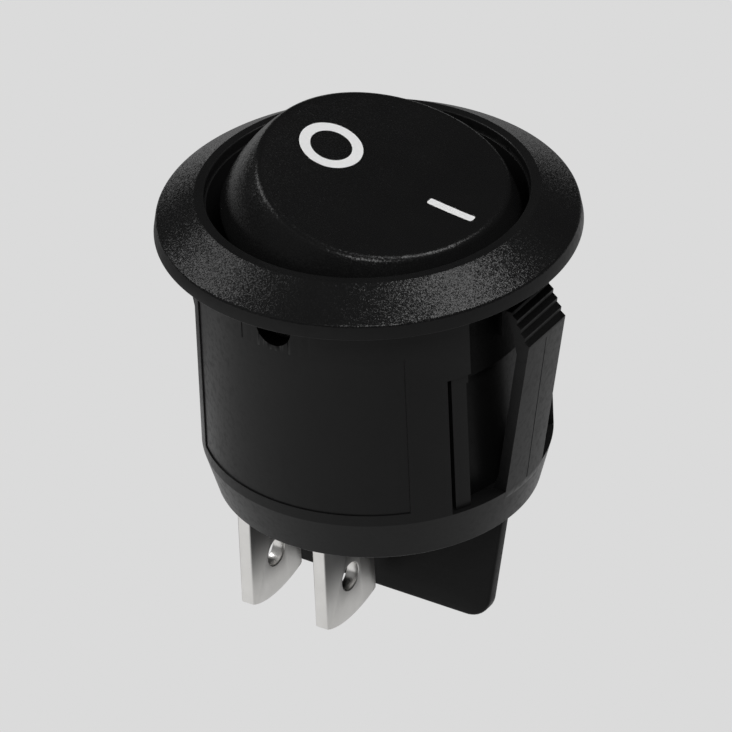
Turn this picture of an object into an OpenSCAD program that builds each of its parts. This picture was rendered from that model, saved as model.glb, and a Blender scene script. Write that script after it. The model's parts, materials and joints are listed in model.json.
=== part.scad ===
// Round panel rocker switch, double pole, on-off, with 4.8 mm blade terminals.
// Origin: on the switch axis, in the plane of the panel face that the bezel sits on.
// +Z points out of the panel, +X towards the ON end of the rocker, and the two poles lie at -Y and +Y.
// The rocker is drawn with its ON end pressed in.

/* [Panel and bezel] */
// Diameter of the hole in the panel
panel_hole_d = 20.2; // [18:0.1:24]
// Overlap of the bezel beyond the panel hole
bezel_overlap = 1.4; // [0.8:0.1:2.5]
// Height of the bezel's upright rim
bezel_rim_h = 0.62; // [0.3:0.02:1.2]
// Height of the bezel above the panel
bezel_h = 2.16; // [1.6:0.02:3]
// Radius where the sloped face meets the flat inner band
bezel_crease_r = 9.25; // [9:0.05:10]
// Radius of the opening that the rocker shows through
opening_r = 8.72; // [8.3:0.02:8.9]
// Depth of the opening's upright lip
lip_depth = 0.56; // [0.3:0.02:1]

/* [Housing] */
// Running space between the housing and the panel hole
panel_clearance = 0.59; // [0.1:0.01:1]
// Depth of the straight part of the housing behind the panel
body_depth = 13.1; // [11:0.1:16]
// Depth of the whole housing behind the panel
body_full_depth = 15.6; // [13.5:0.1:18]
// Radius at the tapered lower end of the housing
body_tail_r = 8.8; // [8.6:0.05:9.2]
// Wall thickness at the lower end of the housing
tail_wall = 0.4; // [0.3:0.05:0.5]
// Radius of the well that the rocker swings in
well_r = 8.62; // [8.55:0.01:8.68]
// Depth of the well's floor ledge behind the panel
well_depth = 3.3; // [3.2:0.1:3.5]
// Inner radius of the ledge that stops the base
ledge_r = 7.5; // [7.3:0.05:7.7]
// Depth of the ledge's underside behind the panel
shoulder_depth = 5.3; // [4.8:0.1:6]
// Half angle of the shallow relief round each pivot hole
relief_half_angle = 13; // [8:1:20]
// Lower edge of the relief, measured down from the flange
relief_bottom = 2.25; // [1.9:0.05:2.6]
// Depth of the relief
relief_sink = 0.15; // [0.05:0.05:0.3]
// Half angle of the shallow marking panel on each side wall
label_half_angle = 43.7; // [20:0.1:48]
// Top of the marking panel, measured down from the flange
label_top = 2.7; // [2.4:0.05:4]
// Bottom of the marking panel, measured down from the flange
label_bottom = 12.45; // [8:0.05:12.9]
// Depth of the marking panel
label_sink = 0.08; // [0.04:0.01:0.2]

/* [Latch fingers] */
// Width of a latch finger
finger_w = 3.64; // [3:0.02:4.5]
// Reach of the lowest tooth from the switch axis
finger_reach = 11.05; // [10.6:0.05:11.4]
// Height of the lowest tooth below the flange
finger_tooth_depth = 3.3; // [3:0.05:4]
// Number of teeth, for panels of different thickness
tooth_count = 4; // [2:1:4]
// Step outwards from one tooth to the next
tooth_step = 0.23; // [0.15:0.01:0.25]
// Spacing of the teeth down the finger
tooth_pitch = 0.49; // [0.4:0.01:0.5]
// Height of the upright part of each tooth
tooth_riser = 0.2; // [0.1:0.05:0.3]
// Thickness added behind the teeth
finger_head_t = 0.35; // [0.2:0.05:0.5]
// Thickness of the finger below the teeth
finger_t = 0.5; // [0.4:0.05:0.7]
// Width of the window behind a finger
window_w = 7.6; // [6:0.1:8]
// Top of the window, measured down from the flange
window_top = 1.45; // [1.2:0.05:1.6]
// Width of the shallow sunk face round the window
sunk_face_w = 10.14; // [9:0.02:11]
// Top of the sunk face, measured down from the flange
sunk_face_top = 4.6; // [4:0.1:6]
// Depth of the sunk face
sunk_face_sink = 0.3; // [0.1:0.05:0.5]

/* [Rocker] */
// Radius of the rocker's rounded flank, measured from the pivot
rocker_r = 8.44; // [8.3:0.01:8.46]
// Height of the flank's lower edge above the pivot
flank_foot_h = 1.5; // [1.3:0.1:2.5]
// Radius of the skirt below the flank
skirt_r = 7; // [6.8:0.05:7.05]
// Depth of the pivot behind the panel
pivot_depth = 1.3; // [1.2:0.05:1.5]
// Tilt of the rocker from level in each of its two positions
rocker_tilt = 13; // [10:0.5:13]
// Height of the rocker's top above its pivot, at the middle
rocker_top_h = 4.64; // [4.3:0.02:4.8]
// Radius of the hollow in the rocker's top
rocker_hollow_r = 38; // [30:1:60]
// Rounding of the rocker's top edge
rocker_edge_r = 0.42; // [0.2:0.02:0.6]
// Depth of the rocker's skirt below the pivot
rocker_skirt = 1.2; // [1.1:0.1:1.5]
// Wall thickness of the rocker
rocker_wall = 1; // [0.8:0.1:1.2]
// Radius of the pivot pins
pivot_pin_r = 1.05; // [0.9:0.05:1.1]
// Radius of the shoulder that each pin stands on
pin_shoulder_r = 1.8; // [1.4:0.1:1.85]
// Distance that the pins' ends lie below the housing's outer face
pin_recess = 0.4; // [0.2:0.05:0.5]
// Running clearance round the pivot pins
pivot_clearance = 0.05; // [0.02:0.01:0.1]

/* [Plungers] */
// Distance of each pole from the middle of the switch
pole_y = 3.8; // [3.6:0.05:3.9]
// Radius of a plunger
plunger_r = 1.2; // [1:0.05:1.25]
// Running clearance round a plunger
plunger_clearance = 0.05; // [0.02:0.01:0.1]
// Distance from the pivot to the plunger's tip
plunger_tip = 8; // [7.9:0.05:8.05]
// Length of a plunger
plunger_len = 4.8; // [4.4:0.1:5]
// Diameter of the plunger spring's wire
spring_wire_d = 0.24; // [0.2:0.02:0.3]
// Number of working turns in the plunger spring
spring_turns = 4; // [3:0.5:6]

/* [Contacts] */
// Distance from the pivot down to the contact arm's fulcrum
fulcrum_drop = 8.32; // [8.3:0.01:8.4]
// Slope of each half of the contact arm when the arm is level
arm_slope = 22.5; // [22:0.1:23]
// Tilt of the contact arm from level in each position
arm_tilt = 8; // [7.5:0.1:8]
// Half length of the arm's sloped middle part
arm_knee = 2.4; // [2.2:0.05:2.6]
// Thickness of the contact arm
arm_t = 0.4; // [0.3:0.05:0.45]
// Width of the contact arm
arm_w = 2; // [1.6:0.1:2.2]
// Radius of the contact buttons
contact_r = 1; // [0.8:0.05:1.05]
// Height of the contact buttons
contact_h = 0.45; // [0.35:0.05:0.5]
// Gap kept between closed contacts in the drawn position
contact_gap = 0.02; // [0.01:0.01:0.05]
// Thickness of the stops under the arms' free halves
stop_t = 0.6; // [0.4:0.1:0.8]
// Clearance left under an arm that has tipped to its stop
stop_gap = 0.3; // [0.25:0.05:0.5]

/* [Terminals] */
// Width of a blade terminal
blade_w = 4.8; // [2.8:0.1:4.8]
// Thickness of a blade terminal
blade_t = 0.8; // [0.5:0.1:0.8]
// Distance from the common to the load terminal
terminal_pitch = 4.8; // [4.6:0.1:4.9]
// Depth of the blade tips behind the panel
blade_tip_depth = 23.15; // [21:0.05:25]
// Radius of the rounded blade end
blade_end_r = 4.8; // [2.6:0.1:8]
// Diameter of the wire hole in a blade
wire_hole_d = 1.6; // [1:0.1:1.8]
// Distance from the blade's tip to its wire hole
wire_hole_up = 2.75; // [2:0.05:4]
// Bevel at the blade's tip, on each face
blade_bevel = 0.15; // [0.05:0.05:0.25]

/* [Base] */
// Clearance between the base and the housing
base_clearance = 0.1; // [0.05:0.01:0.15]
// Clearance round each contact pad where the base's wall makes way for it
pad_clearance = 0.15; // [0.1:0.05:0.3]
// Wall thickness of the base
base_wall = 1; // [0.8:0.05:1]
// Thickness of the base's floor
base_floor = 2.1; // [1.5:0.1:2.5]
// Depth of the divider's top edge behind the panel, between the poles
divider_top = 7; // [6.5:0.1:9]
// Depth of the top of the divider's end posts behind the panel
post_top = 2.6; // [2.2:0.1:4]
// Reach of the divider's end posts from the switch axis
post_reach = 7.8; // [7.6:0.05:8]
// Width of the divider's end posts
post_w = 0.4; // [0.3:0.05:0.45]
// Thickness of the barrier between the poles
barrier_t = 0.8; // [0.6:0.1:1]
// Reach of the barrier's lower edge beyond the blade tips
barrier_reach = 0.05; // [-3:0.05:3]
// Half length of the barrier at its root
barrier_root_x = 8.6; // [7:0.05:8.7]
// Half length of the barrier near its lower edge
barrier_foot_x = 7.25; // [6:0.05:8]
// Rounding of the barrier's lower corners
barrier_corner_r = 1.2; // [0.5:0.1:2]

/* [Hidden] */
$fn = 96;
eps = 0.01;
// Gap left in the drawing between pieces that are held together.
seat_gap = 0.02;
// Slight roundings of moulded edges.
edge = 0.08;

bezel_r = panel_hole_d / 2 + bezel_overlap;
body_r = panel_hole_d / 2 - panel_clearance;

// The base slides up the lower bore of the housing and stops at its shoulder.
bore_lower_r = body_tail_r - tail_wall;
base_r = bore_lower_r - base_clearance;
base_in_r = base_r - base_wall;
// Snap bead round the base, in a groove of the housing's tapered end.
bead_z = -(body_depth + body_full_depth) / 2;
bead_h = 0.3;
bead_w = 0.8;
bead_clearance = 0.05;
barrier_depth = blade_tip_depth + barrier_reach;

pivot_hole_r = pivot_pin_r + pivot_clearance;
pin_side_gap = 0.35;
plunger_bore_r = plunger_r + plunger_clearance;
guide_r = plunger_bore_r + 0.45;
guide_drop = 5;
bore_top = -0.8;
web_t = 1;
spring_side_gap = 0.1;
spring_r = plunger_r - spring_wire_d / 2 - spring_side_gap;
spring_top = bore_top - seat_gap;
spring_foot = -plunger_tip + plunger_len + seat_gap;

// Heights of the contact parts with the contacts closed.
fulcrum_z = -pivot_depth - fulcrum_drop;
arm_closed = arm_slope - arm_tilt;
arm_pad_z = fulcrum_z + arm_knee * tan(arm_closed) - arm_t;
fixed_top_z = arm_pad_z - contact_h - contact_gap;
pad_r = contact_r + 0.1;
pad_t = 0.7;
pad_pocket_r = pad_r + pad_clearance;
floor_z = -body_full_depth + base_floor;
tongue_w = 2.2;

// Closed solid through rings of equal point count, with both ends capped.
module skin(rings) {
    n = len(rings[0]);
    m = len(rings);
    sides = [for (j = [0:m - 2]) for (i = [0:n - 1])
        [j * n + i, (j + 1) * n + i, (j + 1) * n + (i + 1) % n, j * n + (i + 1) % n]];
    foot = [[for (i = [0:n - 1]) i]];
    head = [[for (i = [n - 1:-1:0]) (m - 1) * n + i]];
    polyhedron([for (ring = rings) for (p = ring) p], concat(foot, sides, head));
}

// Sector of a ring wall between two radii and two heights.
module ring_sector(r0, r1, z0, z1, half_angle) {
    rotate([0, 0, -half_angle])
        rotate_extrude(angle = 2 * half_angle)
            translate([r0, z0])
                square([r1 - r0, z1 - z0]);
}

// Plate cut from an outline in the XZ plane and centred on the given Y.
module xz_plate(width, y = 0) {
    translate([0, y + width / 2, 0])
        rotate([90, 0, 0])
            linear_extrude(width)
                children();
}

// Repeats a shape drawn at +X at both ends, +X and -X.
module both_ends() {
    for (a = [0, 180])
        rotate([0, 0, a])
            children();
}

// Repeats a shape drawn at +X at both sides, -Y and +Y.
module both_sides() {
    for (a = [-90, 90])
        rotate([0, 0, a])
            children();
}

// ---- Housing: bezel, wall and latch fingers in one moulding ----

module housing_profile() {
    ledge_slope = 0.7;
    polygon([
        [ledge_r, -shoulder_depth],
        [ledge_r, -well_depth - ledge_slope],
        [well_r, -well_depth],
        [well_r, bezel_h - lip_depth],
        [opening_r, bezel_h - lip_depth],
        [opening_r, bezel_h - edge],
        [opening_r + edge, bezel_h],
        [bezel_crease_r, bezel_h - edge / 2],
        [bezel_r - edge, bezel_rim_h + edge / 3],
        [bezel_r, bezel_rim_h - edge],
        [bezel_r, 0],
        [body_r, 0],
        [body_r, -body_depth],
        [body_tail_r, -body_full_depth],
        [bore_lower_r, -body_full_depth],
        [bore_lower_r, -shoulder_depth]
    ]);
}

// Side outline of a finger: root, long outer face, teeth stepping in towards the flange, inner face.
module finger_profile() {
    root_sink = 0.12;
    root_h = 0.5;
    head_rise = 0.12;
    neck_h = 0.7;
    root_x = body_r - root_sink;
    inner_x = bore_lower_r + base_clearance;
    tip_z = -finger_tooth_depth;
    head_x = finger_reach - tooth_count * tooth_step;
    head_z = tip_z + tooth_count * tooth_pitch - tooth_riser + head_rise;
    root = [[inner_x, -body_depth - root_h], [root_x, -body_depth - root_h], [root_x, -body_depth]];
    teeth = [for (k = [0:tooth_count - 1])
        let (x = finger_reach - k * tooth_step, z = tip_z + k * tooth_pitch)
        each [[x, z - tooth_riser], [x, z], [x - tooth_step, z + tooth_pitch - tooth_riser]]];
    back = [
        [head_x, head_z],
        [head_x - finger_head_t, head_z],
        [finger_reach - finger_t - finger_head_t, tip_z + tooth_riser],
        [finger_reach - finger_t - finger_head_t / 2, tip_z - neck_h],
        [root_x - finger_t, -body_depth + 2 * root_h],
        [inner_x, -body_depth]
    ];
    polygon(concat(root, teeth, back));
}

module latch_window() {
    translate([body_r / 2, -window_w / 2, -body_depth])
        cube([body_r, window_w, body_depth - window_top]);
}

module sunk_face() {
    reach = body_r + 1;
    intersection() {
        difference() {
            cylinder(r = reach, h = 3 * body_depth, center = true);
            cylinder(r = body_r - sunk_face_sink, h = 4 * body_depth, center = true);
        }
        translate([0, -sunk_face_w / 2, -body_depth])
            cube([reach, sunk_face_w, body_depth - sunk_face_top]);
    }
}

module marking_panel() {
    ring_sector(body_r - label_sink, body_r + 1, -label_bottom, -label_top, label_half_angle);
}

module pivot_hole() {
    translate([0, 0, -pivot_depth])
        rotate([0, 90, 0])
            cylinder(r = pivot_hole_r, h = body_r + 1);
    ring_sector(body_r - relief_sink, body_r + 1, -relief_bottom, -eps, relief_half_angle);
}

module bead_groove() {
    groove_w = bead_w + 2 * bead_clearance;
    translate([0, 0, bead_z])
        rotate_extrude()
            translate([bore_lower_r - eps, -groove_w / 2])
                square([bead_h + bead_clearance, groove_w]);
}

module housing() {
    color("#1c1c1e") {
        difference() {
            rotate_extrude()
                housing_profile();
            both_ends() {
                latch_window();
                sunk_face();
            }
            both_sides() {
                pivot_hole();
                marking_panel();
            }
            bead_groove();
        }
        both_ends()
            xz_plate(finger_w)
                finger_profile();
    }
}

// ---- Base: cup, floor, divider and the barrier between the poles ----

module barrier_profile() {
    top = -body_full_depth - seat_gap;
    root_h = 0.2;
    c = barrier_corner_r;
    corner = [for (a = [0:-10:-90]) [barrier_foot_x - c + c * cos(a), -barrier_depth + c + c * sin(a)]];
    half = concat([[barrier_root_x, top], [barrier_root_x, top - root_h]], corner);
    polygon(concat(half, [for (i = [len(half) - 1:-1:0]) [-half[i][0], half[i][1]]]));
}

module terminal_slot(x, y) {
    slot_t = blade_t + 2 * seat_gap;
    slot_w = tongue_w + 2 * seat_gap;
    translate([x - slot_t / 2, y - slot_w / 2, -body_full_depth - 1])
        cube([slot_t, slot_w, base_floor + 2]);
}

// Room in the cup's wall for the fixed contacts and their pads.
module pad_pocket(y) {
    translate([-terminal_pitch, y, floor_z])
        cylinder(r = pad_pocket_r, h = body_full_depth);
}

// Wall between the poles. It runs down through the floor into the barrier, and a post at each
// end stands up behind the latch window.
module divider() {
    foot_z = -body_full_depth - 2 * seat_gap;
    half = base_in_r + base_wall / 4;
    translate([-half, -barrier_t / 2, foot_z])
        cube([2 * half, barrier_t, -divider_top - foot_z]);
    both_ends()
        translate([post_reach - post_w, -barrier_t / 2, foot_z])
            cube([post_w, barrier_t, -post_top - foot_z]);
}

// Stop under the free half of a contact arm.
module arm_stop(y) {
    stop_inset = 0.1;
    translate([arm_knee - stop_inset - stop_t, y - arm_w / 2, floor_z - eps])
        cube([stop_t, arm_w, arm_pad_z - stop_gap - floor_z]);
}

module base() {
    top_z = -shoulder_depth - seat_gap;
    color("#19191b") {
        difference() {
            union() {
                translate([0, 0, -body_full_depth])
                    cylinder(r = base_r, h = body_full_depth + top_z);
                translate([0, 0, bead_z - bead_w / 2])
                    cylinder(r = base_r + bead_h, h = bead_w);
            }
            translate([0, 0, floor_z])
                cylinder(r = base_in_r, h = body_full_depth);
            for (y = [-pole_y, pole_y]) {
                terminal_slot(0, y);
                terminal_slot(-terminal_pitch, y);
                pad_pocket(y);
            }
        }
        xz_plate(barrier_t)
            barrier_profile();
        divider();
        for (y = [-pole_y, pole_y])
            arm_stop(y);
    }
}

// ---- Rocker: dished cap, skirt, pivot pins and plunger guides in one moulding ----

// Height of the dished top above the pivot, at distance x from the middle.
function dish(x) = rocker_top_h + x * x / (2 * rocker_hollow_r);

// Distance from the rocker's axis, in direction a, where a sphere of radius r about the pivot
// meets the dish sunk by d.
function rim(a, r, d) =
    let (
        t = rocker_top_h - d,
        k = cos(a) * cos(a) / rocker_hollow_r,
        b = 1 + t * k,
        c = t * t - r * r
    )
    sqrt(-2 * c / (b + sqrt(b * b - k * k * c)));

// Ring of points round the rocker, from a function of the direction to [distance, height].
function ring(at) = [for (a = [0:360 / $fn:359.9]) let (p = at(a)) [p[0] * cos(a), p[0] * sin(a), p[1]]];

// Middle of the edge rounding in direction a, as [distance, height].
function edge_middle(a) =
    let (r = rim(a, rocker_r - rocker_edge_r, rocker_edge_r))
    [r, dish(r * cos(a)) - rocker_edge_r];

// Point on the rounded flank, a share f of the way up from its foot to the edge rounding.
function flank_point(a, f) =
    let (
        m = edge_middle(a),
        foot = asin(flank_foot_h / rocker_r),
        up = foot + f * (atan2(m[1], m[0]) - foot)
    )
    [rocker_r * cos(up), rocker_r * sin(up)];

// Point on the edge rounding, a share f of the way from the flank to the top.
function edge_point(a, f) =
    let (m = edge_middle(a), start = atan2(m[1], m[0]), up = start + f * (90 - start))
    [m[0] + rocker_edge_r * cos(up), m[1] + rocker_edge_r * sin(up)];

// Point on the dished top, at a share f of the distance out to the edge rounding.
function top_point(a, f) = let (r = f * edge_middle(a)[0]) [r, dish(r * cos(a))];

module rocker_cap() {
    flank = [for (f = [0:0.2:0.8]) ring(function(a) flank_point(a, f))];
    edge = [for (f = [0:0.2:1]) ring(function(a) edge_point(a, f))];
    top = [for (f = [0.75, 0.5, 0.25, 0.02]) ring(function(a) top_point(a, f))];
    skin(concat(flank, edge, top));
}

// Hollow under the cap, less the pivot web and the plunger guides.
module rocker_hollow() {
    ceiling = rocker_top_h - rocker_wall;
    difference() {
        translate([0, 0, -rocker_skirt - 1])
            cylinder(r = skirt_r - rocker_wall, h = ceiling + rocker_skirt + 1);
        translate([-web_t / 2, -skirt_r, bore_top])
            cube([web_t, 2 * skirt_r, ceiling - bore_top + 1]);
        for (y = [-pole_y, pole_y])
            translate([0, y, -rocker_skirt - 2])
                cylinder(r = guide_r, h = ceiling + rocker_skirt + 3);
    }
}

// Tubes that guide the plungers.
module rocker_guides() {
    for (y = [-pole_y, pole_y])
        translate([0, y, -guide_drop])
            cylinder(r = guide_r, h = guide_drop + rocker_top_h - rocker_wall + eps);
}

module plunger_bores() {
    for (y = [-pole_y, pole_y])
        translate([0, y, -guide_drop - 1])
            cylinder(r = plunger_bore_r, h = guide_drop + 1 + bore_top);
}

// Pins at both sides, each on a round shoulder that keeps the rocker central in its well.
module pivot_pins() {
    root = skirt_r - rocker_wall;
    for (a = [90, -90])
        rotate([a, 0, 0])
            translate([0, 0, root]) {
                cylinder(r = pivot_pin_r, h = body_r - pin_recess - root);
                cylinder(r = pin_shoulder_r, h = well_r - pin_side_gap - root);
            }
}

// Places a shape that rides on the rocker: drawn level about the pivot, then tilted.
module on_rocker() {
    translate([0, 0, -pivot_depth])
        rotate([0, rocker_tilt, 0])
            children();
}

module rocker() {
    color("#161617")
        on_rocker()
            difference() {
                union() {
                    rocker_cap();
                    difference() {
                        translate([0, 0, -rocker_skirt])
                            cylinder(r = skirt_r, h = flank_foot_h + rocker_skirt + edge);
                        rocker_hollow();
                    }
                    rocker_guides();
                    pivot_pins();
                }
                plunger_bores();
            }
}

// ---- Sprung plungers in the rocker ----

module plunger(y) {
    color("ivory")
        on_rocker()
            translate([0, y, -plunger_tip]) {
                translate([0, 0, plunger_r])
                    cylinder(r = plunger_r, h = plunger_len - plunger_r);
                translate([0, 0, plunger_r])
                    sphere(r = plunger_r);
            }
}

// Coil with closed end turns, drawn as round sections along a helix.
module plunger_spring(y) {
    steps = 16;
    total = spring_turns + 2;
    r = spring_wire_d / 2;
    low = spring_foot + r;
    high = spring_top - r;
    rings = [for (i = [0:total * steps])
        let (
            turn = i / steps,
            work = min(max(turn - 1, 0), spring_turns) / spring_turns,
            closed = 2 * spring_wire_d,
            z = low + closed * (min(turn, 1) + max(turn - total + 1, 0)) / 2
                + (high - low - closed) * work
        )
        [for (a = [0:45:315])
            let (reach = spring_r + r * cos(a))
            [reach * cos(360 * turn), reach * sin(360 * turn), z + r * sin(a)]]];
    color("silver")
        on_rocker()
            translate([0, y, 0])
                skin(rings);
}

// ---- Contact arms and buttons ----

// Side outline of the arm: V at the fulcrum, level pad over the load contact, short raised half.
module arm_profile() {
    lo = arm_closed;
    hi = arm_slope + arm_tilt;
    pad_x = terminal_pitch + pad_r;
    pad_z = arm_knee * tan(lo);
    top = [[-pad_x, pad_z], [-arm_knee, pad_z], [0, 0], [arm_knee, arm_knee * tan(hi)]];
    low = [for (i = [3:-1:0]) [top[i][0], top[i][1] - arm_t]];
    polygon(concat(top, low));
}

module contact_arm(y) {
    color("peru")
        intersection() {
            translate([0, 0, fulcrum_z])
                xz_plate(arm_w, y)
                    arm_profile();
            translate([0, y, fulcrum_z - 5])
                linear_extrude(10) {
                    translate([-terminal_pitch, -arm_w / 2])
                        square([terminal_pitch + arm_knee, arm_w]);
                    translate([-terminal_pitch, 0])
                        circle(r = arm_w / 2);
                }
        }
}

module moving_contact(y) {
    color("gainsboro")
        translate([-terminal_pitch, y, arm_pad_z - contact_h])
            cylinder(r = contact_r, h = contact_h);
}

module fixed_contact(y) {
    color("gainsboro")
        translate([-terminal_pitch, y, fixed_top_z - contact_h])
            cylinder(r = contact_r, h = contact_h);
}

// ---- Blade terminals ----

// Face outline of a blade below its shoulders, with the rounded end.
module blade_outline() {
    top = body_full_depth + seat_gap;
    intersection() {
        translate([-blade_w / 2, -blade_tip_depth - 1])
            square([blade_w, blade_tip_depth + 1 - top]);
        translate([0, -blade_tip_depth + blade_end_r])
            circle(r = blade_end_r);
        translate([-blade_w / 2, -blade_tip_depth])
            square([blade_w, 2 * blade_end_r]);
    }
    translate([-blade_w / 2, -blade_tip_depth + blade_end_r - eps])
        square([blade_w, blade_tip_depth - blade_end_r - top + eps]);
}

// Edge outline of a blade, thinned at the tip by a bevel on each face.
module blade_section(top_z) {
    half = blade_t / 2;
    tip = -blade_tip_depth;
    polygon([
        [-half, top_z], [-half, tip + 4 * blade_bevel], [blade_bevel - half, tip],
        [half - blade_bevel, tip], [half, tip + 4 * blade_bevel], [half, top_z]
    ]);
}

// Blade with its tongue through the floor, standing at x and reaching up to top_z.
module blade(x, y, top_z) {
    translate([x, y, 0])
        difference() {
            intersection() {
                translate([-blade_t, 0, 0])
                    rotate([90, 0, 90])
                        linear_extrude(2 * blade_t) {
                            blade_outline();
                            translate([-tongue_w / 2, -body_full_depth - 1])
                                square([tongue_w, body_full_depth + 1 + top_z]);
                        }
                xz_plate(2 * blade_w)
                    blade_section(top_z);
            }
            translate([-blade_t, 0, -blade_tip_depth + wire_hole_up])
                rotate([0, 90, 0])
                    cylinder(d = wire_hole_d, h = 2 * blade_t);
        }
}

module common_terminal(y) {
    color("silver")
        blade(0, y, fulcrum_z - arm_t - seat_gap);
}

module load_terminal(y) {
    pad_top = fixed_top_z - contact_h;
    color("silver") {
        blade(-terminal_pitch, y, pad_top - pad_t / 2);
        translate([-terminal_pitch, y, pad_top - pad_t])
            cylinder(r = pad_r, h = pad_t);
    }
}

housing();
base();
rocker();
plunger(-pole_y);  // plunger_front
plunger(pole_y);  // plunger_rear
plunger_spring(-pole_y);  // plunger_spring_front
plunger_spring(pole_y);  // plunger_spring_rear
contact_arm(-pole_y);  // contact_arm_front
contact_arm(pole_y);  // contact_arm_rear
moving_contact(-pole_y);  // moving_contact_front
moving_contact(pole_y);  // moving_contact_rear
fixed_contact(-pole_y);  // fixed_contact_front
fixed_contact(pole_y);  // fixed_contact_rear
common_terminal(-pole_y);  // common_terminal_front
common_terminal(pole_y);  // common_terminal_rear
load_terminal(-pole_y);  // load_terminal_front
load_terminal(pole_y);  // load_terminal_rear
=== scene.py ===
import math
import json

import bpy
import bmesh
from mathutils import Matrix, Vector


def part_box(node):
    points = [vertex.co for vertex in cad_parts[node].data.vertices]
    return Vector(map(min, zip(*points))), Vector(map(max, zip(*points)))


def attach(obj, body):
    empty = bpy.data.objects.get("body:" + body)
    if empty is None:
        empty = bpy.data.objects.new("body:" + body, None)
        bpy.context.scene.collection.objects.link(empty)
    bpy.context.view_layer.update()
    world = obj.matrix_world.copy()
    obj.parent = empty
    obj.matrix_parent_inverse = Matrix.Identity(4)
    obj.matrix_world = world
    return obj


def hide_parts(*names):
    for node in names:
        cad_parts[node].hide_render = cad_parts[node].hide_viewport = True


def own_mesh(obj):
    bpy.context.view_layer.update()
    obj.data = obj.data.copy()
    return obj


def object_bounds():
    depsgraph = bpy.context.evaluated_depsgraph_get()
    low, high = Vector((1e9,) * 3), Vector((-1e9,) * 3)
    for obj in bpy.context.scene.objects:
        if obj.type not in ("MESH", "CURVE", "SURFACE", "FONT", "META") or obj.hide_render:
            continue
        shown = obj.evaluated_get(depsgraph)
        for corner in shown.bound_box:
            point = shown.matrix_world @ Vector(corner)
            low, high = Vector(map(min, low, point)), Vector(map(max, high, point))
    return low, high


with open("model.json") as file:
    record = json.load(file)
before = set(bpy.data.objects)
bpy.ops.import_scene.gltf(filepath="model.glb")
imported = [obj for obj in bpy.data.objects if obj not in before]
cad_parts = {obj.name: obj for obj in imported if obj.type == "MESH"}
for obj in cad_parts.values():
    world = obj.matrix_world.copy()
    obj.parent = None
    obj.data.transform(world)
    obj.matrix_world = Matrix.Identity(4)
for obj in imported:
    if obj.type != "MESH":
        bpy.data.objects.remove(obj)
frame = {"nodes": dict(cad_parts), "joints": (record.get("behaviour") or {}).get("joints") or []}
MM = 0.001
cad_box = [list(corner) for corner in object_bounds()]

# ---------------------------------------------------------------------------
# Camera
# The switch is seen from above, in front and to the right, with a long lens
# and a camera rolled a little to one side.
# ---------------------------------------------------------------------------
azimuth = math.radians(34.3)
elevation = math.radians(33.108)
camera_roll = math.radians(2.541)
camera_distance = 600 * MM
view_width = 39.0629169 * MM
aim_right = 0.482 * MM
aim_up = 7.597 * MM

away = Vector((-math.sin(azimuth), math.cos(azimuth), 0))
right = Vector((math.cos(azimuth), math.sin(azimuth), 0))
forward = away * math.cos(elevation) - Vector((0, 0, 1)) * math.sin(elevation)
up = away * math.sin(elevation) + Vector((0, 0, 1)) * math.cos(elevation)
cam_x = right * math.cos(camera_roll) - up * math.sin(camera_roll)
cam_y = right * math.sin(camera_roll) + up * math.cos(camera_roll)

camera = bpy.data.objects.new("camera", bpy.data.cameras.new("camera"))
bpy.context.scene.collection.objects.link(camera)
camera.data.sensor_width = 36
camera.data.lens = camera.data.sensor_width * camera_distance / view_width
camera.data.clip_start = 0.01
camera.data.clip_end = 10
place = Matrix((cam_x, cam_y, -forward)).transposed().to_4x4()
place.translation = -forward * camera_distance - right * aim_right - up * aim_up
camera.matrix_world = place
bpy.context.scene.camera = camera

# ---------------------------------------------------------------------------
# Floor, backdrop colour and studio light
# A pale floor some way under the blade tips, three soft lamps over the front,
# the right and the left, and a low fill with a soft glow at the left front.
# ---------------------------------------------------------------------------
paper_grey = 0.708
floor_drop = 30 * MM


def new_object(name, mesh, material=None):
    """Links a mesh as an object, with its material."""
    piece = bpy.data.objects.new(name, mesh)
    bpy.context.scene.collection.objects.link(piece)
    if material:
        mesh.materials.append(material)
    return piece


def node_material(name):
    """An empty node material and its tree."""
    material = bpy.data.materials.new(name)
    material.use_nodes = True
    material.node_tree.nodes.clear()
    return material, material.node_tree


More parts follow.
